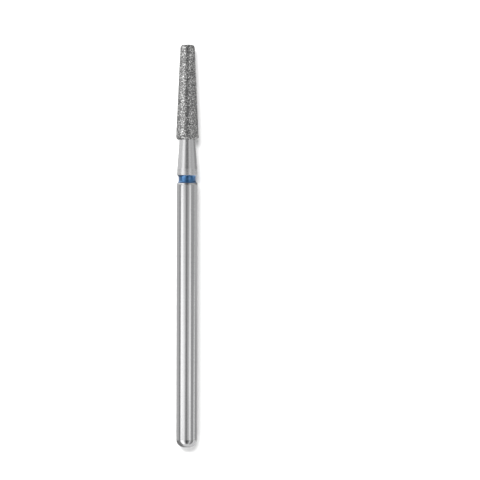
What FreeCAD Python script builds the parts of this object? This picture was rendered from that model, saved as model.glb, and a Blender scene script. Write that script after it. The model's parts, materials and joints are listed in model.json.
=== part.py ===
import FreeCAD, Part

import enum
import math
import os

import Sketcher

# A diamond bur for a straight handpiece, lying on a surface.
# The tool points along +Y, +Z is up, and the origin is on the surface under the middle of the tool.
# Each piece is turned about its own Z axis, from the butt at height 0 to the tip, and then laid down.

SIZES = {
    "overall_length": 45.0,
    "shank_diameter": 2.35,
    "butt_round": 0.9,
    "ring_width": 0.94,
    "groove_depth": 0.275,
    "rim_chamfer": 0.04,
    "ring_hollow": 0.195,
    "land_length": 0.7,
    "land_step": 0.025,
    "neck_length": 3.3,
    "head_length": 10.6,
    "head_diameter": 2.51,
    "tip_diameter": 1.6,
    "shoulder_width": 0.38,
    "core_base_round": 0.18,
    "core_tip_round": 0.23,
    "coating_thickness": 0.12,
}

NOTES = {
    "overall_length": "Butt to tip, over the grit",
    "shank_diameter": "Standard handpiece shank",
    "butt_round": "Round at the end of the shank",
    "ring_width": "Width of the groove and of the lacquer in it",
    "groove_depth": "Depth of the groove below the shank",
    "rim_chamfer": "Broken edge at each side of the groove",
    "ring_hollow": "How far the lacquer sinks below the shank at its middle",
    "land_length": "Straight land between the groove and the neck",
    "land_step": "How far the land lies below the shank, on the radius",
    "neck_length": "Taper between the land and the head",
    "head_length": "Head over the grit, from its base to the tip",
    "head_diameter": "Widest place of the head over the grit, just above its base",
    "tip_diameter": "Tip of the head over the grit, across the start of its round",
    "shoulder_width": "From the neck out to the head's widest place, on the radius",
    "core_base_round": "Round at the base of the steel core",
    "core_tip_round": "Round at the tip of the steel core",
    "coating_thickness": "Bonded grit, the same all over the core",
}

# Places worked out from the sizes. A radius is measured from the axis and a height from the butt.
SHANK_RADIUS = "sizes.shank_diameter / 2"
LAND_RADIUS = "(sizes.shank_diameter / 2 - sizes.land_step)"
NECK_RADIUS = "(sizes.head_diameter / 2 - sizes.shoulder_width)"
GROOVE_RADIUS = "(sizes.shank_diameter / 2 - sizes.groove_depth)"
WAIST_RADIUS = "(sizes.shank_diameter / 2 - sizes.ring_hollow)"
SHANK_RIM_RADIUS = f"({SHANK_RADIUS} - sizes.rim_chamfer)"
LAND_RIM_RADIUS = f"({LAND_RADIUS} - sizes.rim_chamfer)"

TIP_HEIGHT = "sizes.overall_length"
HEAD_BASE = "(sizes.overall_length - sizes.head_length)"
NECK_START = f"({HEAD_BASE} - sizes.neck_length)"
RING_TOP = f"({NECK_START} - sizes.land_length)"
RING_BOTTOM = f"({RING_TOP} - sizes.ring_width)"
RING_MIDDLE = f"({RING_TOP} - sizes.ring_width / 2)"

# The head's corners are rounds that the steel core and its coating share as centres.
BASE_ROUND = "(sizes.core_base_round + sizes.coating_thickness)"
TIP_ROUND = "(sizes.core_tip_round + sizes.coating_thickness)"
BASE_CENTRE_RADIUS = f"(sizes.head_diameter / 2 - {BASE_ROUND})"
BASE_CENTRE_HEIGHT = f"({HEAD_BASE} + {BASE_ROUND})"
TIP_CENTRE_RADIUS = f"(sizes.tip_diameter / 2 - {TIP_ROUND})"
TIP_CENTRE_HEIGHT = f"({TIP_HEIGHT} - {TIP_ROUND})"
CORE_SHOULDER = f"({HEAD_BASE} + sizes.coating_thickness)"
CORE_TIP = f"({TIP_HEIGHT} - sizes.coating_thickness)"

# Angles of the head's rounds before they are made tangent: outwards is 0 and towards the tip is 90.
TOWARDS_BUTT = -90
OUTWARDS = 0
TOWARDS_TIP = 90

FULL_TURN = 360
ON_ITS_SIDE = FreeCAD.Rotation(FreeCAD.Vector(1, 0, 0), -90)
SAME_PLACE = 1e-6


class Spot(enum.IntEnum):
    """The points of a line or an arc, as a sketch numbers them."""

    START = 1
    END = 2
    CENTRE = 3


class Axis(enum.IntEnum):
    """The axes that every sketch has, as it numbers them. The first one starts at the origin."""

    ACROSS = -1
    TURNING = -2


def make_sheet(doc):
    """Writes each driving size into its own named cell, with a note beside it."""
    sheet = doc.addObject("Spreadsheet::Sheet", "sizes")
    for row, (name, value) in enumerate(SIZES.items(), 1):
        sheet.set(f"A{row}", str(value))
        sheet.setAlias(f"A{row}", name)
        sheet.set(f"B{row}", NOTES[name])
    doc.recompute()
    return sheet


def add_sketch(body, name):
    """Adds a sketch in the body's own upright plane, where x is a radius and y is a height."""
    sketch = body.newObject("Sketcher::SketchObject", name)
    upright = next(item for item in body.Origin.OriginFeatures if item.Role == "XZ_Plane")
    sketch.AttachmentSupport = (upright, [""])
    sketch.MapMode = "FlatFace"
    return sketch


def place_of(sketch, radius, height):
    """Works out a place in a sketch from the expressions of its radius and height."""
    return FreeCAD.Vector(sketch.evalExpression(radius), sketch.evalExpression(height), 0)


def constrain(sketch, kind, *places):
    """Adds one constraint between the places of a sketch, and returns its number."""
    return sketch.addConstraint(Sketcher.Constraint(kind, *places))


def dimension(sketch, kind, expression, *places):
    """Adds one dimension to the places of a sketch, and ties it to the sheet."""
    index = constrain(sketch, kind, *places, sketch.evalExpression(expression))
    sketch.setExpression(f"Constraints[{index}]", expression)


def place_point(sketch, geometry, position, radius, height):
    """Fixes a point of the sketch at a radius and a height. The text 0 puts it on that axis."""
    if radius == "0":
        constrain(sketch, "PointOnObject", geometry, position, Axis.TURNING)
    else:
        dimension(sketch, "DistanceX", radius, Axis.ACROSS, Spot.START, geometry, position)
    if height == "0":
        constrain(sketch, "PointOnObject", geometry, position, Axis.ACROSS)
    else:
        dimension(sketch, "DistanceY", height, Axis.ACROSS, Spot.START, geometry, position)


def add_round(sketch, radius, height, size, begin, finish):
    """Adds a round of a given size about a centre, and returns it with the ends that it is met at."""
    centre = place_of(sketch, radius, height)
    circle = Part.Circle(centre, FreeCAD.Vector(0, 0, 1), sketch.evalExpression(size))
    low = math.radians(min(begin, finish))
    high = math.radians(max(begin, finish))
    arc = sketch.addGeometry(Part.ArcOfCircle(circle, low, high))
    place_point(sketch, arc, Spot.CENTRE, radius, height)
    dimension(sketch, "Radius", size, arc)
    if begin < finish:
        return arc, Spot.START, Spot.END
    return arc, Spot.END, Spot.START


def draw_outline(sketch, stations):
    """Draws a closed outline through stations, joined by straight lines.

    A station of two expressions is a corner, given by its radius and height.
    A station of five is a round: the radius and height of its centre, its size, and the angles
    where the outline comes onto it and leaves it. The lines beside a round are tangent to it.
    """
    rounds = {}
    arrive = []
    leave = []
    for number, station in enumerate(stations):
        if len(station) == 2:
            point = place_of(sketch, *station)
            arrive.append(point)
            leave.append(point)
        else:
            rounds[number] = add_round(sketch, *station)
            arc, first, last = rounds[number]
            arrive.append(sketch.getPoint(arc, first))
            leave.append(sketch.getPoint(arc, last))
    count = len(stations)
    lines = []
    for number in range(count):
        line = Part.LineSegment(leave[number], arrive[(number + 1) % count])
        lines.append(sketch.addGeometry(line))
    for number, station in enumerate(stations):
        line_before = lines[number - 1]
        line_after = lines[number]
        if number in rounds:
            arc, first, last = rounds[number]
            constrain(sketch, "Tangent", line_before, Spot.END, arc, first)
            constrain(sketch, "Tangent", arc, last, line_after, Spot.START)
        else:
            constrain(sketch, "Coincident", line_before, Spot.END, line_after, Spot.START)
            place_point(sketch, line_after, Spot.START, *station)


def turn(body, kind, sketch, name):
    """Turns a sketch fully about the body's axis, to add material or to cut it away."""
    feature = body.newObject(f"PartDesign::{kind}", name)
    feature.Profile = sketch
    feature.ReferenceAxis = (sketch, ["V_Axis"])
    feature.Angle = FULL_TURN
    body.Document.recompute()
    return feature


def circle_name(feature, radius, height):
    """Names the edge of a turned shape that is a circle of this radius at this height."""
    wanted_radius = feature.evalExpression(radius)
    wanted_height = feature.evalExpression(height)
    for number, edge in enumerate(feature.Shape.Edges, 1):
        if not isinstance(edge.Curve, Part.Circle):
            continue
        radius_error = abs(edge.Curve.Radius - wanted_radius)
        height_error = abs(edge.Curve.Center.z - wanted_height)
        if max(radius_error, height_error) < SAME_PLACE:
            return f"Edge{number}"
    raise ValueError(f"{feature.Label} has no circle of radius {wanted_radius} at {wanted_height}")


def lay_down(body):
    """Lays a turned body on its side, with the tool's middle over the origin and its widest place at 0."""
    body.Placement = FreeCAD.Placement(FreeCAD.Vector(), ON_ITS_SIDE)
    body.setExpression("Placement.Base.y", "-sizes.overall_length / 2")
    body.setExpression("Placement.Base.z", "max(sizes.head_diameter; sizes.shank_diameter) / 2")


def make_blank(doc):
    """The steel blank is one turned piece: shank, land, neck and the core of the head."""
    body = doc.addObject("PartDesign::Body", "steel_blank")
    profile = add_sketch(body, "blank_profile")
    draw_outline(profile, [
        ("0", "0"),
        (SHANK_RADIUS, "0"),
        (SHANK_RADIUS, RING_TOP),
        (LAND_RADIUS, RING_TOP),
        (LAND_RADIUS, NECK_START),
        (NECK_RADIUS, HEAD_BASE),
        (NECK_RADIUS, CORE_SHOULDER),
        (BASE_CENTRE_RADIUS, BASE_CENTRE_HEIGHT, "sizes.core_base_round", TOWARDS_BUTT, OUTWARDS),
        (TIP_CENTRE_RADIUS, TIP_CENTRE_HEIGHT, "sizes.core_tip_round", OUTWARDS, TOWARDS_TIP),
        ("0", CORE_TIP),
    ])
    turn(body, "Revolution", profile, "turned_blank")

    # The groove is cut from the shank side up to the land's end face.
    groove = add_sketch(body, "groove_profile")
    draw_outline(groove, [
        (GROOVE_RADIUS, RING_BOTTOM),
        ("sizes.shank_diameter", RING_BOTTOM),
        ("sizes.shank_diameter", RING_TOP),
        (GROOVE_RADIUS, RING_TOP),
    ])
    grooved = turn(body, "Groove", groove, "ring_groove")

    rims = body.newObject("PartDesign::Chamfer", "groove_rims")
    rims.Base = (grooved, [
        circle_name(grooved, SHANK_RADIUS, RING_BOTTOM),
        circle_name(grooved, LAND_RADIUS, RING_TOP),
    ])
    rims.setExpression("Size", "sizes.rim_chamfer")
    doc.recompute()

    butt = body.newObject("PartDesign::Fillet", "rounded_butt")
    butt.Base = (rims, [circle_name(rims, SHANK_RADIUS, "0")])
    butt.setExpression("Radius", "sizes.butt_round")
    return body


def make_coating(doc):
    """The bonded grit is a shell of one thickness over the core's tip, side and shoulder."""
    body = doc.addObject("PartDesign::Body", "diamond_coating")
    profile = add_sketch(body, "coating_profile")
    draw_outline(profile, [
        (NECK_RADIUS, HEAD_BASE),
        (BASE_CENTRE_RADIUS, BASE_CENTRE_HEIGHT, BASE_ROUND, TOWARDS_BUTT, OUTWARDS),
        (TIP_CENTRE_RADIUS, TIP_CENTRE_HEIGHT, TIP_ROUND, OUTWARDS, TOWARDS_TIP),
        ("0", TIP_HEIGHT),
        ("0", CORE_TIP),
        (TIP_CENTRE_RADIUS, TIP_CENTRE_HEIGHT, "sizes.core_tip_round", TOWARDS_TIP, OUTWARDS),
        (BASE_CENTRE_RADIUS, BASE_CENTRE_HEIGHT, "sizes.core_base_round", OUTWARDS, TOWARDS_BUTT),
        (NECK_RADIUS, CORE_SHOULDER),
    ])
    turn(body, "Revolution", profile, "bonded_grit")
    return body


def make_ring(doc):
    """The lacquer fills the groove, and its outer face is drawn in by a hollow from rim to rim."""
    body = doc.addObject("PartDesign::Body", "colour_ring")
    profile = add_sketch(body, "ring_profile")
    corners = [
        (LAND_RIM_RADIUS, RING_TOP),
        (GROOVE_RADIUS, RING_TOP),
        (GROOVE_RADIUS, RING_BOTTOM),
        (SHANK_RIM_RADIUS, RING_BOTTOM),
    ]
    points = [place_of(profile, *corner) for corner in corners]
    sides = []
    for begin, finish in zip(points, points[1:]):
        sides.append(profile.addGeometry(Part.LineSegment(begin, finish)))
    top, floor, bottom = sides
    constrain(profile, "Coincident", top, Spot.END, floor, Spot.START)
    constrain(profile, "Coincident", floor, Spot.END, bottom, Spot.START)
    for side, corner in zip(sides, corners):
        place_point(profile, side, Spot.START, *corner)
    place_point(profile, bottom, Spot.END, *corners[-1])

    # A sketch keeps an arc counterclockwise, so this one starts at the land and ends at the shank.
    waist = (WAIST_RADIUS, RING_MIDDLE)
    waist_place = place_of(profile, *waist)
    hollow = profile.addGeometry(Part.Arc(points[-1], waist_place, points[0]))
    constrain(profile, "Coincident", hollow, Spot.START, top, Spot.START)
    constrain(profile, "Coincident", hollow, Spot.END, bottom, Spot.END)
    waist_point = profile.addGeometry(Part.Point(waist_place), True)
    place_point(profile, waist_point, Spot.START, *waist)
    constrain(profile, "PointOnObject", waist_point, Spot.START, hollow)
    turn(body, "Revolution", profile, "lacquer_ring")
    return body


def check_document(doc, bodies):
    """Stops with a plain message if a sketch or feature has failed, or a piece isn't one sound solid."""
    for item in doc.Objects:
        if "Invalid" in item.State or "Error" in item.State:
            raise RuntimeError(f"{item.Label} failed: {item.State}")
        if item.TypeId == "Sketcher::SketchObject" and not item.FullyConstrained:
            raise RuntimeError(f"{item.Label} isn't fully constrained")
    for body in bodies:
        if body.Shape.isNull() or not body.Shape.isValid() or len(body.Shape.Solids) != 1:
            raise RuntimeError(f"{body.Label} isn't one sound solid")


doc = FreeCAD.newDocument("diamond_bur")
make_sheet(doc)
pieces = [make_blank(doc), make_coating(doc), make_ring(doc)]
for piece in pieces:
    lay_down(piece)
doc.recompute()
check_document(doc, pieces)

os.makedirs("parts", exist_ok=True)
for piece in pieces:
    piece.Shape.exportStep(f"parts/{piece.Label}.step")
    box = piece.Shape.BoundBox
    print(f"{piece.Label}: {piece.Shape.Volume:.3f} mm3, y {box.YMin:.3f} to {box.YMax:.3f}")
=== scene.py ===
# %% [markdown]
# # A diamond bur, seen from above
#
# A diamond bur is a small grinding tool. A rod of steel is turned and ground to shape, its head is
# covered in diamond grains that nickel holds, and a ring of coloured lacquer tells how coarse the
# grains are. Here it lies on a white table, and the camera looks straight down on it.
#
# The engineering model is loaded first. It says where every piece is and how large it is, so nothing
# below is fitted by eye: each piece is made in metres, in the same frame.

import json
import math

import bmesh
import bpy
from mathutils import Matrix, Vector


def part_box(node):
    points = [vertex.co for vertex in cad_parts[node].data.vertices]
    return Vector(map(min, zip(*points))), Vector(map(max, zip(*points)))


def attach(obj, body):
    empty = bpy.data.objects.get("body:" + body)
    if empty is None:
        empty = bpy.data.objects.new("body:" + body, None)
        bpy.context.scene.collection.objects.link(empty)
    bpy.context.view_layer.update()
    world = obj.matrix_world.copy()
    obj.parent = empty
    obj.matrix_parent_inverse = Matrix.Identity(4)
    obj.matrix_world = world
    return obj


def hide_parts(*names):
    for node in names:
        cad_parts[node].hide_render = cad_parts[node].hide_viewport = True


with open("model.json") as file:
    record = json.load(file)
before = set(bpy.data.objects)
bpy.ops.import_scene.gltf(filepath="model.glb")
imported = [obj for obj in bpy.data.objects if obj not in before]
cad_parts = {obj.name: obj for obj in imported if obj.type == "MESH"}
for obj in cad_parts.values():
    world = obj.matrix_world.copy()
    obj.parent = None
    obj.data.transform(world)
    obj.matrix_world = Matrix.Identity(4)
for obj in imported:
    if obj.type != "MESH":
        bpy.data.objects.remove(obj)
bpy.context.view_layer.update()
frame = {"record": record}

# %% [markdown]
# ## Sizes
#
# The bur lies along Y with its tip at the positive end. Its axis is as high above the table as the
# radius of its widest place, because that place rests on the table. The long sizes come from the
# frame. The small ones, such as a round or a step, are given here once, each by name.

# %% Sizes from the frame
MM = 0.001
blank_low, blank_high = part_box("steel_blank")
coating_low, coating_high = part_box("diamond_coating")
ring_low, ring_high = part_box("colour_ring")
shank_mount = frame["record"]["mounts"][0]

AXIS_HEIGHT = shank_mount["pos_m"][2]
SHANK_RADIUS = shank_mount["dims"]["r_mm"] * MM
HEAD_RADIUS = AXIS_HEIGHT
BUTT = blank_low.y
RING_BOTTOM = ring_low.y
RING_TOP = ring_high.y
HEAD_BASE = coating_low.y
TIP = coating_high.y
print("head from", round(HEAD_BASE / MM, 2), "to", round(TIP / MM, 2), "mm")

# %% Small sizes
# The shank: its round end, and its upper rim, which is rounded over the edge of the lacquer.
BUTT_ROUND = 0.9 * MM
RIM_DEPTH = 0.04 * MM
RIM_LENGTH = 0.27 * MM
RIM_EDGE = RING_BOTTOM + 0.07 * MM

# The ring: the groove under it and the waist of its hollow face.
GROOVE_RADIUS = SHANK_RADIUS - 0.275 * MM
WAIST_RADIUS = SHANK_RADIUS - 0.195 * MM

# The land above the ring, which narrows by a hair, and the narrow end of the neck.
LAND_RADIUS = SHANK_RADIUS - 0.025 * MM
LAND_END_RADIUS = LAND_RADIUS - 0.02 * MM
LAND_TOP = RING_TOP + 0.7 * MM
NECK_RADIUS = HEAD_RADIUS - 0.38 * MM

# The head: its tip, the rounds at both ends and the thickness of its coating.
TIP_RADIUS = 0.8 * MM
BASE_ROUND = 0.3 * MM
TIP_ROUND = 0.35 * MM
COATING = 0.12 * MM
print("the ring covers", round((RING_TOP - RIM_EDGE) / MM, 2), "mm of the rod")

# %% [markdown]
# ## Outlines
#
# A turned piece is known by its outline: the radius at each place along the axis. A real outline is
# straight lines joined by arcs, so two helpers make the points of an arc and the outline of the head.
# The head's side touches its two rounds, and the angle at which it does so follows from the rounds'
# centres. The same outline, shrunk by the thickness of the coating, is the steel core under it.

# %% Arc and head outlines
def arc(centre_radius, centre_along, size, begin, finish, steps=14):
    """Points of an arc as (radius, along). The angle is 0 outwards and 90 towards the tip."""
    points = []
    for step in range(steps + 1):
        angle = math.radians(begin + (finish - begin) * step / steps)
        radius = centre_radius + size * math.cos(angle)
        points.append((radius, centre_along + size * math.sin(angle)))
    return points


def head_outline(inset):
    """The head from the neck to the tip, shrunk by inset."""
    base_centre = (HEAD_RADIUS - BASE_ROUND, HEAD_BASE + BASE_ROUND)
    tip_centre = (TIP_RADIUS - TIP_ROUND, TIP - TIP_ROUND)
    narrowing = base_centre[0] - tip_centre[0]
    length = tip_centre[1] - base_centre[1]
    touch = math.atan2(narrowing, length)
    touch += math.asin((BASE_ROUND - TIP_ROUND) / math.hypot(narrowing, length))
    touch = math.degrees(touch)
    outline = [(NECK_RADIUS, HEAD_BASE + inset)]
    outline += arc(*base_centre, BASE_ROUND - inset, -90, touch)
    outline += arc(*tip_centre, TIP_ROUND - inset, touch, 90)
    return outline + [(0, TIP - inset)]


print("the head's outline has", len(head_outline(0)), "points")

# %% [markdown]
# ## Turning a piece
#
# A lathe makes a round piece by turning it, and so does this helper. It stands a ring of corners round
# the axis at each point of the outline and joins each ring to the next. The engineering model is cut
# into 42 flats round its axis, and a mirror-like finish would show them, so the pieces that are seen
# are turned again with many more.
#
# The outline comes as runs. Each run starts where the one before it ends, its surface is shaded as one
# smooth sweep, and where two runs meet there is a real edge. Every face remembers the number of its
# run in an attribute, which the grit needs further down.

# %% Rings of corners
ROUND_STEPS = 160


def stand_ring(form, radius, along, steps):
    """A ring of corners round the axis, or the one corner of an outline's end on the axis."""
    if radius == 0:
        return [form.verts.new((0, along, AXIS_HEIGHT))]
    ring = []
    for step in range(steps):
        angle = 2 * math.pi * step / steps
        across = radius * math.sin(angle)
        up = AXIS_HEIGHT + radius * math.cos(angle)
        ring.append(form.verts.new((across, along, up)))
    return ring


def join_rings(form, low, high, steps):
    """The faces between two rings, which are triangles where one ring is a single corner."""
    faces = []
    for step in range(steps):
        after = (step + 1) % steps
        corners = [low[step % len(low)], low[after % len(low)]]
        corners += [high[after % len(high)], high[step % len(high)]]
        faces.append(form.faces.new(list(dict.fromkeys(corners))))
    return faces

# %% Turn an outline
def turned_piece(name, runs, steps=ROUND_STEPS):
    """Turns runs of (radius, along) points about the bur's axis into a closed mesh."""
    form = bmesh.new()
    run_of_face = form.faces.layers.int.new("run")
    closed = runs[0][0] == runs[-1][-1]
    rings = [stand_ring(form, *runs[0][0], steps)]
    edge_rings = [rings[0]]
    for number, run in enumerate(runs):
        for point in run[1:]:
            last_of_all = closed and run is runs[-1] and point is run[-1]
            rings.append(rings[0] if last_of_all else stand_ring(form, *point, steps))
            for face in join_rings(form, rings[-2], rings[-1], steps):
                face[run_of_face] = number
                face.smooth = True
        edge_rings.append(rings[-1])
    for ring in edge_rings:
        for first, second in zip(ring, ring[1:] + ring[:1]):
            edge = form.edges.get((first, second)) if first != second else None
            if edge:
                edge.smooth = False
    bmesh.ops.recalc_face_normals(form, faces=form.faces)
    mesh = bpy.data.meshes.new(name)
    form.to_mesh(mesh)
    form.free()
    piece = bpy.data.objects.new(name, mesh)
    bpy.context.scene.collection.objects.link(piece)
    print(name, "has", len(mesh.polygons), "faces")
    return piece

# %% [markdown]
# ## The steel blank
#
# One rod of hardened steel makes everything but the grit and the lacquer. From the butt it has a
# round end, a long shank that the chuck grips, a groove for the ring, a short land, a neck that
# tapers to the head, and the core under the grit.
#
# The shank's upper rim is polished round before the lacquer is laid, so it is a quarter of a long,
# shallow ellipse that ends the first run smoothly. Each corner of the rest ends a run, so the chamfer
# of the land and the start of the taper stay crisp, as a lathe leaves them.

# %% Outline of the shank
RIM_STEPS = 8


def shank_outline():
    """The shank from the middle of its butt to the edge of the groove."""
    outline = [(0, BUTT)]
    outline += arc(SHANK_RADIUS - BUTT_ROUND, BUTT + BUTT_ROUND, BUTT_ROUND, -90, 0)
    for step in range(RIM_STEPS + 1):
        angle = math.radians(90 * step / RIM_STEPS)
        radius = SHANK_RADIUS - RIM_DEPTH * (1 - math.cos(angle))
        outline.append((radius, RIM_EDGE - RIM_LENGTH * (1 - math.sin(angle))))
    return outline


shank_run = shank_outline()
print("the shank's outline has", len(shank_run), "points")

# %% Turn the blank
core_outline = head_outline(COATING)
blank_corners = [
    shank_run[-1],
    (GROOVE_RADIUS, RIM_EDGE),
    (GROOVE_RADIUS, RING_TOP),
    (LAND_RADIUS - RIM_DEPTH, RING_TOP),
    (LAND_RADIUS, RING_TOP + RIM_DEPTH),
    (LAND_END_RADIUS, LAND_TOP),
    (NECK_RADIUS, HEAD_BASE),
    core_outline[0],
]
blank_runs = [shank_run]
blank_runs += [list(pair) for pair in zip(blank_corners, blank_corners[1:])]
blank_runs += [core_outline]
blank = turned_piece("steel_rod", blank_runs)

# %% [markdown]
# ## The lacquer ring
#
# Lacquer is laid in the groove wet. It climbs at both rims and sinks in the middle as it dries, so its
# face is a hollow that is nearly level at the waist and curls up to the rims. A power of the distance
# from the middle gives such a curve: a power of 2 makes an even bow, and a power of 4 keeps the waist
# level for longer and curls more tightly.

# %% Turn the ring
HOLLOW_POWER = 4


def hollow_outline(shank_rim, land_rim, steps=32):
    """The lacquer's face as (radius, along): level at the waist and curled up to both rims."""
    points = []
    for step in range(steps + 1):
        side = 2 * step / steps - 1
        rim = shank_rim if side < 0 else land_rim
        radius = WAIST_RADIUS + (rim[0] - WAIST_RADIUS) * abs(side) ** HOLLOW_POWER
        points.append((radius, shank_rim[1] + (land_rim[1] - shank_rim[1]) * step / steps))
    return points


hollow = hollow_outline((SHANK_RADIUS - RIM_DEPTH, RIM_EDGE), (LAND_RADIUS - RIM_DEPTH, RING_TOP))
ring_corners = [hollow[-1], (GROOVE_RADIUS, RING_TOP), (GROOVE_RADIUS, RIM_EDGE), hollow[0]]
ring_runs = [hollow] + [list(pair) for pair in zip(ring_corners, ring_corners[1:])]
lacquer = turned_piece("lacquer_ring", ring_runs)
print("the ring's waist is", round(2 * min(radius for radius, along in hollow) / MM, 2), "mm across")

# %% [markdown]
# ## The bed of nickel
#
# The grains sit in a skin of nickel that is plated round them. The skin is a closed shell: a plain
# inner face that lies on the steel core, a short wall on the neck, and a fine outer face. The outer
# face lies a little deeper than the head's own size, because the grains stand out of it and the head
# is measured over the grains. Its outline is cut into even steps, so that all of it can be shaped as
# finely.

# %% Turn the bed
BED_DEPTH = 0.016 * MM
BED_STEP = 0.045 * MM
OUTER_RUN = 2


def even_steps(outline, spacing):
    """The same outline with points no further apart than spacing."""
    points = [outline[0]]
    for begin, finish in zip(outline, outline[1:]):
        pieces = max(1, math.ceil(math.dist(begin, finish) / spacing))
        for step in range(1, pieces + 1):
            share = step / pieces
            points.append(tuple(a + (b - a) * share for a, b in zip(begin, finish)))
    return points


inner_face = head_outline(COATING)[::-1]
outer_face = even_steps(head_outline(BED_DEPTH), BED_STEP)
neck_wall = [inner_face[-1], outer_face[0]]
bed_steps = round(2 * math.pi * HEAD_RADIUS / BED_STEP)
plain_bed = turned_piece("plain_bed", [inner_face, neck_wall, outer_face], steps=bed_steps)

# %% [markdown]
# ## Small helpers for nodes
#
# Materials and Geometry Nodes are both trees of nodes. The main helper here adds one node, changes its
# settings, and gives each input either a value or a link from another node. Some nodes have several
# sockets of one name, one for each kind of value, so the helper takes the one that is in use. Sums and
# products of values are nodes as well, and the last two helpers add those.

# %% Node helpers
def in_use(sockets, name):
    """The socket of this name that the node uses with its present settings."""
    return next(socket for socket in sockets if socket.name == name and socket.enabled)


def add_node(tree, kind, inputs=None, **settings):
    """Adds a node with these settings, and sets or links its inputs by name."""
    node = tree.nodes.new(kind)
    for name, value in settings.items():
        setattr(node, name, value)
    for name, value in (inputs or {}).items():
        if isinstance(value, bpy.types.NodeSocket):
            tree.links.new(value, in_use(node.inputs, name))
        else:
            in_use(node.inputs, name).default_value = value
    return node


def output(node, name):
    """The output of this name that the node uses."""
    return in_use(node.outputs, name)

# %% Sums and products
def combined(tree, operation, first, second):
    """Adds, multiplies or otherwise joins two values, of which the second may be a number."""
    node = add_node(tree, "ShaderNodeMath", {"Value": first}, operation=operation)
    if isinstance(second, bpy.types.NodeSocket):
        tree.links.new(second, node.inputs[1])
    else:
        node.inputs[1].default_value = second
    return node.outputs[0]


def scaled(tree, vector, factor):
    """A vector or a colour, times a factor."""
    given = {"Vector": vector, "Scale": factor}
    return add_node(tree, "ShaderNodeVectorMath", given, operation="SCALE").outputs[0]

# %% [markdown]
# A material starts as one shader and an output. What is the same all over the surface is a value on
# the shader's own socket, and what changes from place to place is a pattern that is linked to it. The
# patterns read Object coordinates, which are metres in the frame, so a scale of 10000 makes marks
# about a tenth of a millimetre long. Most of a noise lies between two values near its middle, and those
# are stretched over the range that a finish asks for.

# %% Material helpers
def label(key):
    """The shader's own name for a socket that is written as base_color or coat_ior."""
    return key.replace("_", " ").title().replace("Ior", "IOR")


def new_material(name, **values):
    """A material with one shader, whose constant values are set on its own sockets."""
    material = bpy.data.materials.new(name)
    material.use_nodes = True
    tree = material.node_tree
    tree.nodes.clear()
    inputs = {label(key): value for key, value in values.items()}
    shader = add_node(tree, "ShaderNodeBsdfPrincipled", inputs)
    add_node(tree, "ShaderNodeOutputMaterial", {"Surface": output(shader, "BSDF")})
    return material, tree, shader


def feed(tree, shader, **patterns):
    """Links patterns to the shader's sockets."""
    for key, pattern in patterns.items():
        tree.links.new(pattern, in_use(shader.inputs, label(key)))

# %% Patterns
NOISE_LOW = 0.3
NOISE_HIGH = 0.7


def marks(tree, scale, detail=3.0, roughness=0.6):
    """Noise on Object coordinates, stretched by one scale for each axis."""
    place = add_node(tree, "ShaderNodeTexCoord")
    sized = {"Vector": output(place, "Object"), "Scale": scale}
    mapping = add_node(tree, "ShaderNodeMapping", sized)
    noise = {"Vector": output(mapping, "Vector"), "Scale": 1.0}
    noise.update({"Detail": detail, "Roughness": roughness})
    return output(add_node(tree, "ShaderNodeTexNoise", noise), "Fac")


def ranged(tree, value, from_low, from_high, to_low, to_high, **settings):
    """Turns one range of a value into another."""
    limits = {"Value": value, "From Min": from_low, "From Max": from_high}
    limits.update({"To Min": to_low, "To Max": to_high})
    return output(add_node(tree, "ShaderNodeMapRange", limits, **settings), "Result")


def toned(tree, value, stops):
    """A colour that runs through stops, each given as (place from 0 to 1, colour)."""
    ramp = add_node(tree, "ShaderNodeValToRGB", {"Fac": value})
    elements = ramp.color_ramp.elements
    while len(elements) < len(stops):
        elements.new(1.0)
    for element, (place, colour) in zip(elements, stops):
        element.position = place
        element.color = (*colour, 1.0)
    return output(ramp, "Color")


def shaded(tree, value, dark, light):
    """A colour between dark and light."""
    return toned(tree, value, ((0.0, dark), (1.0, light)))


def relief(tree, height, strength, distance):
    """The way the surface faces where a pattern of heights makes it bumpy."""
    bump = {"Height": height, "Strength": strength, "Distance": distance}
    return output(add_node(tree, "ShaderNodeBump", bump), "Normal")

# %% [markdown]
# ## Ground steel
#
# The shank is ground to size while it spins, so its marks run round it: they are short along the axis
# and long across it. They hardly change its colour but they spread its highlights along the axis. The
# land beside the ring is left matt, with deeper marks, and the neck is smoother again. All three are
# one piece of steel, so one material covers them, and the place along the axis decides how rough and
# how deeply marked it is. From the ring on, the steel's tone is also made lighter, which is painted
# light that brightens the land, the neck and the core. Slow clouds of roughness stand for the haze of
# handling.

# %% Steel finish
LATHE_MARKS = (250, 26000, 250)
HANDLING_CLOUDS = (700, 260, 700)
FINISH_STEP = 0.02 * MM
SHANK_ROUGHNESS = 0.11
LAND_ROUGHNESS = 0.22
NECK_CHANGE = -0.06
LINE_CHANGE = (-0.03, 0.05)
CLOUD_CHANGE = (-0.01, 0.05)
CLOUD_LOW = 0.35
STEEL_DARK = (0.43, 0.43, 0.435)
STEEL_LIGHT = (0.51, 0.51, 0.515)
LAND_PAINTED_LIGHT_GAIN = 1.12
MARK_DEPTH = 0.0015 * MM
SHANK_MARK_SHARE = 0.25


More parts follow.
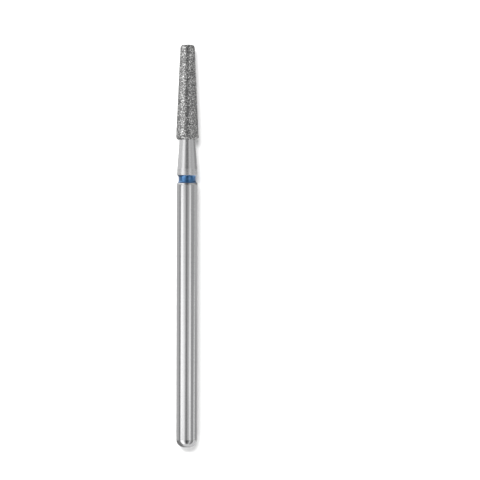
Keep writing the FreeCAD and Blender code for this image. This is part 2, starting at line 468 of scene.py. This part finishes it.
def steel_finish():
    """Bright ground steel on the shank, matt on the land and smoother again on the neck."""
    material, tree, shader = new_material("ground_steel", metallic=1.0)
    lines = marks(tree, LATHE_MARKS)
    clouds = marks(tree, HANDLING_CLOUDS, detail=2.0)
    place = output(add_node(tree, "ShaderNodeTexCoord"), "Object")
    along = output(add_node(tree, "ShaderNodeSeparateXYZ", {"Vector": place}), "Y")
    rough = ranged(tree, along, RING_BOTTOM, RING_TOP, SHANK_ROUGHNESS, LAND_ROUGHNESS)
    for change in (
        ranged(tree, along, LAND_TOP, LAND_TOP + FINISH_STEP, 0.0, NECK_CHANGE),
        ranged(tree, lines, NOISE_LOW, NOISE_HIGH, *LINE_CHANGE),
        ranged(tree, clouds, CLOUD_LOW, NOISE_HIGH, *CLOUD_CHANGE),
    ):
        rough = combined(tree, "ADD", rough, change)
    # From the ring on the tone is lighter: painted light on the land, the neck and the core.
    gain = ranged(tree, along, RING_BOTTOM, RING_TOP, 1.0, LAND_PAINTED_LIGHT_GAIN)
    tone = scaled(tree, shaded(tree, lines, STEEL_DARK, STEEL_LIGHT), gain)
    depth = ranged(tree, along, RING_BOTTOM, RING_TOP, SHANK_MARK_SHARE, 1.0)
    height = combined(tree, "MULTIPLY", lines, depth)
    bumps = relief(tree, height, strength=1.0, distance=MARK_DEPTH)
    feed(tree, shader, roughness=rough, base_color=tone, normal=bumps)
    return material


blank.data.materials.append(steel_finish())
print("steel rod is", blank.data.materials[0].name)

# %% [markdown]
# ## Blue lacquer
#
# The ring is a clear blue lacquer on bright steel. The steel's reflection comes back through it
# coloured, and its own smooth face reflects the lamps white. So the shader is a metal with a deep blue
# tone under a clear coat. A slow noise makes both a little uneven, as brushed lacquer is.

# %% Lacquer finish
LACQUER_DARK = (0.0, 0.095, 0.255)
LACQUER_LIGHT = (0.006, 0.115, 0.31)
LACQUER_PATCHES = (1500, 1500, 1500)
LACQUER_WAVES = (2500, 2500, 2500)
WAVE_DEPTH = 0.01 * MM


def lacquer_finish():
    """A deep blue metal look under a clear coat that is slightly uneven."""
    material, tree, shader = new_material(
        "blue_lacquer", metallic=1.0, roughness=0.3, coat_weight=1.0, coat_roughness=0.14,
        coat_ior=1.65)
    depth = marks(tree, LACQUER_PATCHES, detail=2.0)
    tone = shaded(tree, depth, LACQUER_DARK, LACQUER_LIGHT)
    waves = marks(tree, LACQUER_WAVES, detail=1.0)
    waves = relief(tree, waves, strength=0.2, distance=WAVE_DEPTH)
    feed(tree, shader, base_color=tone, normal=waves, coat_normal=waves)
    return material


lacquer.data.materials.append(lacquer_finish())
print("ring is", lacquer.data.materials[0].name)

# %% [markdown]
# ## Nickel and diamond
#
# Plated nickel is a dull metal with a fine pebbled surface. Its tone here is kept much darker than bare
# nickel, which is painted shade in the gaps between the grains. The grains are hard, sharp crystals
# under a thin film of the same metal, and where the film is worn off a facet it shines. So each grain
# has a tone of its own, which it carries as an attribute that the Geometry Nodes below write. A ramp of
# tones makes most grains dark or grey and a few of them bright, which gives the head its glitter.

# %% Nickel finish
NICKEL_PEBBLES = (22000, 22000, 22000)
# Both tones are far darker than bare nickel: painted shade between the grains.
NICKEL_DARK = (0.1, 0.1, 0.1)
NICKEL_LIGHT = (0.26, 0.26, 0.255)
NICKEL_ROUGHNESS = (0.22, 0.4)
PEBBLE_DEPTH = 0.004 * MM


def nickel_finish():
    """Dull plated nickel between the grains, toned darker as painted shade in the gaps."""
    material, tree, shader = new_material("nickel_with_painted_shade", metallic=1.0)
    pebbles = marks(tree, NICKEL_PEBBLES, detail=2.0)
    tone = shaded(tree, pebbles, NICKEL_DARK, NICKEL_LIGHT)
    rough = ranged(tree, pebbles, NOISE_LOW, NOISE_HIGH, *NICKEL_ROUGHNESS)
    bumps = relief(tree, pebbles, strength=0.5, distance=PEBBLE_DEPTH)
    feed(tree, shader, base_color=tone, roughness=rough, normal=bumps)
    return material


nickel = nickel_finish()
print("bed is", nickel.name)

# %% Diamond finish
FILM_PATCHES = (30000, 30000, 30000)
FILM_ROUGHNESS = (0.12, 0.3)
GRAIN_TONES = (
    (0.0, (0.1, 0.1, 0.1)),
    (0.5, (0.36, 0.36, 0.36)),
    (0.75, (0.63, 0.63, 0.625)),
    (1.0, (0.95, 0.95, 0.94)),
)


def diamond_finish():
    """Sharp grains, each with its own tone, under a thin film of nickel."""
    material, tree, shader = new_material("diamond_grains", metallic=1.0)
    own = output(add_node(tree, "ShaderNodeAttribute", attribute_name="grain_tone"), "Fac")
    tone = toned(tree, own, GRAIN_TONES)
    film = marks(tree, FILM_PATCHES, detail=1.0)
    rough = ranged(tree, film, NOISE_LOW, NOISE_HIGH, *FILM_ROUGHNESS)
    feed(tree, shader, base_color=tone, roughness=rough)
    return material


diamond = diamond_finish()
print("grains are", diamond.name, "in", len(GRAIN_TONES), "main tones")

# %% [markdown]
# ## Where the grains sit
#
# Thousands of grains can't be placed by hand, so Geometry Nodes scatter them. A small group of nodes
# keeps only the outer face of the bed, throws points on it and drops those that would be nearer to each
# other than the spacing. It also hands on how the face lies at each point, so that the grains can stand
# on it. The bed and the grains both use this group with the same seed, so both find the same places.

# %% An empty tree
def new_tree(name, inputs, outputs=()):
    """An empty Geometry Nodes tree with a geometry in and out, and these named sockets."""
    tree = bpy.data.node_groups.new(name, "GeometryNodeTree")
    for way, sockets in (("INPUT", inputs), ("OUTPUT", dict(outputs))):
        for title, kind in {"Geometry": "Geometry", **sockets}.items():
            tree.interface.new_socket(name=title, in_out=way, socket_type="NodeSocket" + kind)
    return tree, add_node(tree, "NodeGroupInput"), add_node(tree, "NodeGroupOutput")

# %% Scatter group
PLACE_INPUTS = {"Outer Run": "Int", "Spacing": "Float", "Seed": "Int"}
CROWDING = 6.0


def on_outer_run(tree, given):
    """True for the faces whose run is the tree's Outer Run."""
    run = add_node(tree, "GeometryNodeInputNamedAttribute", {"Name": "run"}, data_type="INT")
    same = add_node(
        tree, "FunctionNodeCompare",
        {"A": output(run, "Attribute"), "B": output(given, "Outer Run")},
        data_type="INT", operation="EQUAL")
    return output(same, "Result")


def grain_places():
    """Points on the outer face of the bed, no two nearer than the spacing."""
    tree, given, result = new_tree("grain_places", PLACE_INPUTS, {"Rotation": "Rotation"})
    face = add_node(
        tree, "GeometryNodeSeparateGeometry",
        {"Geometry": output(given, "Geometry"), "Selection": on_outer_run(tree, given)},
        domain="FACE")
    one_per_spacing = combined(tree, "POWER", output(given, "Spacing"), -2.0)
    thrown = combined(tree, "MULTIPLY", one_per_spacing, CROWDING)
    scatter = add_node(
        tree, "GeometryNodeDistributePointsOnFaces",
        {"Mesh": output(face, "Selection"), "Distance Min": output(given, "Spacing"),
         "Density Max": thrown, "Seed": output(given, "Seed")},
        distribute_method="POISSON")
    tree.links.new(output(scatter, "Points"), result.inputs["Geometry"])
    tree.links.new(output(scatter, "Rotation"), result.inputs["Rotation"])
    return tree


PLACES = grain_places()
GRAIN_SPACING = 0.071 * MM
GRAIN_SEED = 7
print("scatter group is", PLACES.name)

# %% [markdown]
# ## The grains
#
# Diamond for such tools is crushed to small blocks with flat facets. Each point gets a five-sided
# block that narrows to a flat top and is sunk in the bed to its middle. Each leans by a small random
# angle, is spun about its own middle, and is stretched at random. Once the blocks are real geometry
# each corner is moved a little at random too, which makes every grain a different splinter. The facets
# stay flat, because flat facets flash one by one as the eye moves along the head.
#
# The tree ends in Realize Instances and Set Material, because a model that is exported keeps no
# instances.

# %% Grain block
GRAIN_SIDES = 5
TOP_SHARE = 0.48
FOOT_SHARE = 0.58
DEPTH_SHARE = 0.5


def grain_block(tree, size):
    """A block that narrows to a flat top, with its middle at the origin."""
    block = add_node(
        tree, "GeometryNodeMeshCone",
        {"Vertices": GRAIN_SIDES, "Radius Top": combined(tree, "MULTIPLY", size, TOP_SHARE),
         "Radius Bottom": combined(tree, "MULTIPLY", size, FOOT_SHARE),
         "Depth": combined(tree, "MULTIPLY", size, DEPTH_SHARE)})
    sunk = combined(tree, "MULTIPLY", size, -DEPTH_SHARE / 2)
    offset = add_node(tree, "ShaderNodeCombineXYZ", {"Z": sunk})
    centred = add_node(
        tree, "GeometryNodeTransform",
        {"Geometry": output(block, "Mesh"), "Translation": output(offset, "Vector")})
    return output(centred, "Geometry")

# %% Parts that the trees share
def random_value(tree, low, high, seed, kind="FLOAT_VECTOR"):
    """A random value for each element, the same in each run."""
    limits = {"Min": low, "Max": high, "Seed": seed}
    return output(add_node(tree, "FunctionNodeRandomValue", limits, data_type=kind), "Value")


def places_in(tree, given):
    """The scattered points and how they face, from the inputs of the tree that asks for them."""
    group = add_node(tree, "GeometryNodeGroup", node_tree=PLACES)
    for name in ("Geometry", *PLACE_INPUTS):
        tree.links.new(output(given, name), group.inputs[name])
    return group.outputs["Geometry"], group.outputs["Rotation"]


def finish_tree(tree, given, result, geometry):
    """Makes instances real and sets the material, as every tree here ends."""
    real = add_node(tree, "GeometryNodeRealizeInstances", {"Geometry": geometry})
    painted = add_node(
        tree, "GeometryNodeSetMaterial",
        {"Geometry": real.outputs[0], "Material": output(given, "Material")})
    tree.links.new(painted.outputs[0], result.inputs["Geometry"])

# %% Grain tree
MOST_LEAN = 0.12
SMALLEST = (0.75, 0.75, 0.75)
LARGEST = (1.15, 1.15, 1.1)
LEAN_SEED = 11
STRETCH_SEED = 12
TONE_SEED = 13
SHATTER_SEED = 14


def grain_tree():
    """Splinters of diamond on every place."""
    sockets = {"Grain Size": "Float", "Shatter": "Float", "Material": "Material"}
    tree, given, result = new_tree("grit", {**PLACE_INPUTS, **sockets})
    points, facing = places_in(tree, given)
    block = grain_block(tree, output(given, "Grain Size"))
    least = (-MOST_LEAN, -MOST_LEAN, -math.pi)
    lean = random_value(tree, least, tuple(-angle for angle in least), LEAN_SEED)
    leaning = add_node(tree, "FunctionNodeEulerToRotation", {"Euler": lean})
    turned = add_node(
        tree, "FunctionNodeRotateRotation",
        {"Rotation": facing, "Rotate By": output(leaning, "Rotation")},
        rotation_space="LOCAL")
    stretch = random_value(tree, SMALLEST, LARGEST, STRETCH_SEED)
    placed = add_node(
        tree, "GeometryNodeInstanceOnPoints",
        {"Points": points, "Instance": block,
         "Rotation": output(turned, "Rotation"), "Scale": stretch})
    tone = random_value(tree, 0.0, 1.0, TONE_SEED, kind="FLOAT")
    tinted = add_node(
        tree, "GeometryNodeStoreNamedAttribute",
        {"Geometry": output(placed, "Instances"), "Name": "grain_tone", "Value": tone},
        data_type="FLOAT", domain="INSTANCE")
    real = add_node(tree, "GeometryNodeRealizeInstances", {"Geometry": tinted.outputs[0]})
    nudge = random_value(tree, (-1.0,) * 3, (1.0,) * 3, SHATTER_SEED)
    shards = add_node(
        tree, "GeometryNodeSetPosition",
        {"Geometry": real.outputs[0], "Offset": scaled(tree, nudge, output(given, "Shatter"))})
    facets = {"Geometry": shards.outputs[0], "Shade Smooth": False}
    flat = add_node(tree, "GeometryNodeSetShadeSmooth", facets)
    finish_tree(tree, given, result, flat.outputs[0])
    return tree

# %% [markdown]
# A tree is run by a modifier. Its inputs are set by each socket's identifier, which is not its name,
# before Blender works the mesh out. Then the result is copied to a plain mesh with an object of its
# own, and the source with its modifier can go.

# %% Run a tree
def run_tree(name, source, tree, values):
    """The result of a tree on a source object, as a new plain object."""
    modifier = source.modifiers.new(name, "NODES")
    modifier.node_group = tree
    for socket in tree.interface.items_tree:
        if socket.in_out == "INPUT" and socket.name in values:
            modifier[socket.identifier] = values[socket.name]
    evaluated = source.evaluated_get(bpy.context.evaluated_depsgraph_get())
    mesh = bpy.data.meshes.new_from_object(evaluated)
    mesh.name = name
    source.modifiers.remove(modifier)
    piece = bpy.data.objects.new(name, mesh)
    bpy.context.scene.collection.objects.link(piece)
    triangles = sum(len(face.vertices) - 2 for face in mesh.polygons)
    print(name, "has", triangles, "triangles")
    return piece

# %% Run the grain tree
GRAIN_SIZE = 0.095 * MM
SHATTER = 0.005 * MM
place_values = {"Outer Run": OUTER_RUN, "Spacing": GRAIN_SPACING, "Seed": GRAIN_SEED}
grain_values = {"Grain Size": GRAIN_SIZE, "Shatter": SHATTER, "Material": diamond}
grains = run_tree("diamond_grains", plain_bed, grain_tree(), {**place_values, **grain_values})

# %% [markdown]
# ## Shape the bed
#
# Nickel grows on the steel while the grains touch it, so it climbs a little way up each grain and
# stays lower between them. For each corner of the outer face the tree finds the nearest grain and
# lifts the corner more the nearer the grain is. A faint noise keeps the rest from being a perfect cone.

# %% Bed tree
BED_WAVES = 5000.0
CLIMB = 0.012 * MM
UNEVENNESS = 0.008 * MM


def bed_tree():
    """Nickel that climbs the grains and is slightly uneven between them."""
    sockets = {"Climb": "Float", "Unevenness": "Float", "Material": "Material"}
    tree, given, result = new_tree("nickel_bed", {**PLACE_INPUTS, **sockets})
    points, facing = places_in(tree, given)
    near = add_node(tree, "GeometryNodeProximity", {"Geometry": points}, target_element="POINTS")
    lift = ranged(
        tree, output(near, "Distance"), 0.0, output(given, "Spacing"), output(given, "Climb"), 0.0,
        interpolation_type="SMOOTHSTEP")
    noise = add_node(tree, "ShaderNodeTexNoise", {"Scale": BED_WAVES, "Detail": 2.0})
    waves = combined(tree, "MULTIPLY", output(noise, "Fac"), output(given, "Unevenness"))
    normal = output(add_node(tree, "GeometryNodeInputNormal"), "Normal")
    offset = scaled(tree, normal, combined(tree, "ADD", waves, lift))
    shaped = add_node(
        tree, "GeometryNodeSetPosition",
        {"Geometry": output(given, "Geometry"), "Selection": on_outer_run(tree, given),
         "Offset": offset})
    finish_tree(tree, given, result, shaped.outputs[0])
    return tree


bed_values = {"Climb": CLIMB, "Unevenness": UNEVENNESS, "Material": nickel}
bed = run_tree("nickel_bond", plain_bed, bed_tree(), {**place_values, **bed_values})
bpy.data.objects.remove(plain_bed)

# %% [markdown]
# ## Tell the frame
#
# Every piece rides on the one body of this part, and the engineering piece that it stands for is
# hidden.

# %% Ride and hide the engineering pieces
DRESSED = (
    (blank, "steel_blank", "steel"),
    (lacquer, "colour_ring", "blue_lacquer"),
    (bed, "diamond_coating", "diamond_grit"),
    (grains, "diamond_coating", "diamond_grit"),
)
for piece, node, slot in DRESSED:
    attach(piece, "root")
    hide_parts(node)
print("pieces in place of the engineering ones:", len(DRESSED))

# %% [markdown]
# ## The table
#
# A small bright thing is photographed on a plain white sheet, with so much light on the sheet that all
# of it but the soft shadow is pure white. That much light would come back from below in the steel, so
# the reflections don't see the sheet: below the table they see the room's own soft grey. The sheet is
# part of the stage and not of the bur.

# %% White floor
FLOOR_SIZE = 1.6
FLOOR_TONE = (0.82, 0.82, 0.82, 1.0)
FLOOR_GLOW = 0.03
PAPER_GRAIN = (60, 60, 60)
PAPER_ROUGHNESS = (0.85, 0.95)
WHITE = (1.0, 1.0, 1.0, 1.0)


def white_floor():
    """A plain white sheet that only the camera sees."""
    form = bmesh.new()
    bmesh.ops.create_grid(form, x_segments=1, y_segments=1, size=FLOOR_SIZE / 2)
    mesh = bpy.data.meshes.new("floor")
    form.to_mesh(mesh)
    form.free()
    sheet = bpy.data.objects.new("floor", mesh)
    bpy.context.scene.collection.objects.link(sheet)
    paper, tree, shader = new_material(
        "white_sheet", base_color=FLOOR_TONE, emission_color=WHITE,
        emission_strength=FLOOR_GLOW)
    rough = ranged(tree, marks(tree, PAPER_GRAIN), 0.0, 1.0, *PAPER_ROUGHNESS)
    feed(tree, shader, roughness=rough)
    mesh.materials.append(paper)
    sheet.visible_glossy = False
    sheet.visible_diffuse = False
    sheet.visible_shadow = False
    return sheet


white_floor()

# %% [markdown]
# ## The lamps
#
# A round mirror shows the whole room as stripes along its length, so the light decides how the shank
# looks. A place on the shank that leans by some angle shows what is at twice that angle from straight
# up. So each lamp is given by the two angles between which the shank should show it, and by how much
# brighter than the room it is. The glow times pi times the lamp's area is the power that Blender asks
# for. The shank is straight, so it shows only what hangs right above it, and the lamps are short. They
# end before the place that the land mirrors, which is why the land is duller than the shank.

# %% Strip lamps
LAMP_DISTANCE = 0.6
LAMP_LENGTH = 0.145
LAMP_ALONG = -0.03


def strip_lamp(name, begin, finish, glow, length=LAMP_LENGTH, along=LAMP_ALONG, mirrored=True):
    """A soft lamp between two angles from straight up, in degrees, right of it if positive."""
    lean = math.radians((begin + finish) / 2)
    half_width = math.radians((finish - begin) / 2)
    lamp = bpy.data.lights.new(name, "AREA")
    lamp.shape = "RECTANGLE"
    lamp.size = 2 * LAMP_DISTANCE * math.tan(half_width)
    lamp.size_y = length
    lamp.energy = glow * math.pi * lamp.size * lamp.size_y
    holder = bpy.data.objects.new(name, lamp)
    holder.location = (LAMP_DISTANCE * math.sin(lean), along, LAMP_DISTANCE * math.cos(lean))
    holder.rotation_euler = (0, lean, 0)
    holder.visible_camera = False
    holder.visible_glossy = mirrored
    bpy.context.scene.collection.objects.link(holder)
    print(name, "is", round(lamp.size, 2), "m wide and gives", round(lamp.energy, 2), "W")


for lamp_name, begin, finish, glow in (
    ("left_key", -71, -44, 1.5),
    ("left_wing", -44, -28, 0.75),
    ("left_shoulder", -28, -14, 0.35),
    ("right_shoulder", 17, 28, 0.35),
    ("right_strip", 28, 44, 0.9),
):
    strip_lamp(lamp_name, begin, finish, glow)

# %% [markdown]
# One more lamp whitens the sheet. It hangs a little to the left of straight up and well beyond the tip,
# so the shadow is a thin one on the right and reaches a little below the butt. In a mirror it would put
# a bright stripe where the real shank is dark, so the reflections don't see it either.

# %% Overhead lamp
FILL_GLOW = 22.0
FILL_LENGTH = 0.24
FILL_ALONG = 0.29
strip_lamp("overhead_fill", -28, 8, FILL_GLOW, FILL_LENGTH, FILL_ALONG, mirrored=False)

# %% [markdown]
# ## The room
#
# The room itself is a soft grey that changes with the angle round the bur, so it is given as pairs of
# an angle from straight up and a glow. Straight above it is dark, because the camera and its stand are
# there, and that makes the dark stripe down the middle of the shank. Lower down, a gap between two
# screens at the right lets light through, and the shank shows it as a thin bright line.

# %% What the shank mirrors
SHANK_GLOWS = (
    (-180, 0.8), (-104, 0.85), (-92, 0.62), (-84, 0.45), (-74, 0.58),
    (-14, 0.58), (-10, 0.4), (-2, 0.38), (4, 0.62), (60, 0.6), (79, 0.57), (95, 0.85), (180, 0.8),
)
LOW_SHANK_GLOWS = (
    (-180, 0.8), (-104, 0.85), (-92, 0.55), (-84, 0.33), (-74, 0.58), (-46, 0.6), (-40, 1.15),
    (-28, 1.1), (-16, 0.75), (-10, 0.36), (-2, 0.34), (6, 0.77), (18, 0.77), (30, 0.95),
    (44, 0.85), (50, 0.6), (78, 0.55), (86, 1.2), (90, 2.4), (94, 1.2), (98, 0.5), (180, 0.8),
)
print("the shank mirrors", len(SHANK_GLOWS), "steps of grey")

# %% [markdown]
# A face that slopes along the bur mirrors what lies further towards the tip or the butt, where the
# room looks different. The neck slopes a little. The facets of the grit and the round of the butt
# slope a lot, and the flat ends look straight along the bur, where no angle round it is defined, so
# there the room has one even grey. Seen from beside the butt, the whole bur mirrors what lies far out
# beyond the tip, so there the steps of grey are softer and no edge is as white as the sheet behind it.

# %% What the sloping faces mirror
NECK_GLOWS = (
    (-180, 0.5), (-143, 1.0), (-97, 1.05), (-80, 1.0), (-63, 1.2), (-47, 1.8),
    (-36, 1.4), (-26, 0.8), (-16, 0.45), (-8, 0.28), (6, 0.25), (17, 0.5), (30, 1.0),
    (42, 0.75), (58, 0.68), (75, 0.8), (90, 0.78), (110, 0.45), (135, 0.3), (160, 0.3), (180, 0.5),
)
HEAD_GLOWS = (
    (-180, 0.4), (-143, 1.6), (-106, 2.4), (-80, 3.0), (-60, 3.0), (-48, 2.2), (-34, 0.8),
    (-20, 0.12), (26, 0.03), (40, 0.6), (58, 0.85), (75, 0.45), (90, 0.1), (150, 0.1), (180, 0.4),
)
BUTT_GLOWS = (
    (-180, 0.75), (-160, 0.35), (-110, 0.35), (-92, 0.5), (-84, 0.33), (-74, 0.58),
    (-70, 2.3), (-46, 2.3), (-34, 2.0), (-24, 1.1), (-16, 0.6), (-10, 0.18), (2, 0.12),
    (12, 0.3), (26, 0.4), (32, 1.2), (44, 1.1), (50, 0.5), (78, 0.35), (86, 1.0), (90, 2.0),
    (94, 1.2), (98, 1.0), (140, 1.15), (180, 0.75),
)
FAR_GLOWS = (
    (-180, 0.7), (-104, 0.8), (-92, 0.6), (-84, 0.5), (-74, 0.7), (-66, 1.4), (-48, 1.4),
    (-40, 1.1), (-28, 0.8), (-14, 0.5), (-8, 0.3), (4, 0.32), (14, 0.5), (26, 0.65), (32, 1.15),
    (44, 1.15), (52, 0.6), (78, 0.5), (88, 1.1), (98, 0.6), (140, 0.5), (180, 0.7),
)
BUTT_END_GLOWS = ((-180, 1.15), (180, 1.15))
TIP_END_GLOWS = ((-180, 0.6), (180, 0.6))
print("the butt's round mirrors", len(BUTT_GLOWS), "steps of grey")

# %% [markdown]
# The zones join these into one room. A direction's share along the bur is 0 straight across it, 1
# towards the tip and -1 towards the butt. Each zone takes over from the one before between two such
# shares. The camera itself sees plain white behind the sheet, whichever way it looks.

# %% Grey room
ZONES = (
    (-0.01, -0.06, LOW_SHANK_GLOWS),
    (-0.15, -0.19, BUTT_GLOWS),
    (-0.85, -0.95, BUTT_END_GLOWS),
    (0.05, 0.1, NECK_GLOWS),
    (0.26, 0.38, HEAD_GLOWS),
    (0.42, 0.54, FAR_GLOWS),
    (0.7, 0.95, TIP_END_GLOWS),
)


def glow_round(tree, share, glows):
    """The glow at a share of the turn round the bur, from (angle, glow) pairs."""
    return toned(tree, share, [((angle + 180) / 360, (glow,) * 3) for angle, glow in glows])


def grey_room():
    """A grey room whose glow depends on the angle round the bur and on the share along it."""
    world = bpy.data.worlds.new("room")
    world.use_nodes = True
    tree = world.node_tree
    tree.nodes.clear()
    direction = output(add_node(tree, "ShaderNodeTexCoord"), "Generated")
    split = add_node(tree, "ShaderNodeSeparateXYZ", {"Vector": direction})
    turn = add_node(tree, "ShaderNodeMath", {"Value": output(split, "X")}, operation="ARCTAN2")
    tree.links.new(output(split, "Z"), turn.inputs[1])
    share = ranged(tree, turn.outputs[0], -math.pi, math.pi, 0.0, 1.0)
    walls = glow_round(tree, share, SHANK_GLOWS)
    for begin, finish, glows in ZONES:
        part = ranged(tree, output(split, "Y"), begin, finish, 0.0, 1.0)
        blend = {"Factor": part, "A": walls, "B": glow_round(tree, share, glows)}
        walls = output(add_node(tree, "ShaderNodeMix", blend, data_type="RGBA"), "Result")
    path = add_node(tree, "ShaderNodeLightPath")
    seen = add_node(
        tree, "ShaderNodeMix",
        {"Factor": output(path, "Is Camera Ray"), "A": walls, "B": WHITE},
        data_type="RGBA")
    light = add_node(tree, "ShaderNodeBackground", {"Color": output(seen, "Result"), "Strength": 1.0})
    add_node(tree, "ShaderNodeOutputWorld", {"Surface": output(light, "Background")})
    bpy.context.scene.world = world


grey_room()
bpy.context.scene.view_settings.view_transform = "Standard"
print("the room has", len(ZONES), "zones beside the shank's")

# %% [markdown]
# ## The camera
#
# The camera hangs over the bur and looks straight down with a long lens, which keeps the sides of the
# bur nearly parallel. Its place follows from the photograph's frame of 480 by 480 pixels: the shank is
# 2.35 mm across, the bur's length between the rows of the tip and the butt gives the scale, and the row
# of the tip and the column of the axis give the middle. The bur leans by a small angle in the frame, so
# the camera is turned by it.

# %% Camera
FRAME_PIXELS = 480
TIP_ROW = 44.95
BUTT_ROW = 447.4
AXIS_COLUMN = 187.1
LEAN = math.radians(0.13)
LENS = 200.0
SENSOR = 36.0
NEAREST = 0.01

pixel = (TIP - BUTT) / (BUTT_ROW - TIP_ROW)
view_width = FRAME_PIXELS * pixel
across = (FRAME_PIXELS / 2 - AXIS_COLUMN) * pixel
along = TIP + (TIP_ROW - FRAME_PIXELS / 2) * pixel
height = AXIS_HEIGHT + view_width * LENS / SENSOR

camera = bpy.data.objects.new("camera", bpy.data.cameras.new("camera"))
camera.data.lens = LENS
camera.data.sensor_width = SENSOR
camera.data.clip_start = NEAREST
camera.location = (across, along, height)
camera.rotation_euler = (0, 0, LEAN)
bpy.context.scene.collection.objects.link(camera)
bpy.context.scene.camera = camera
print("camera is", round(height, 4), "m up and sees", round(view_width / MM, 2), "mm")
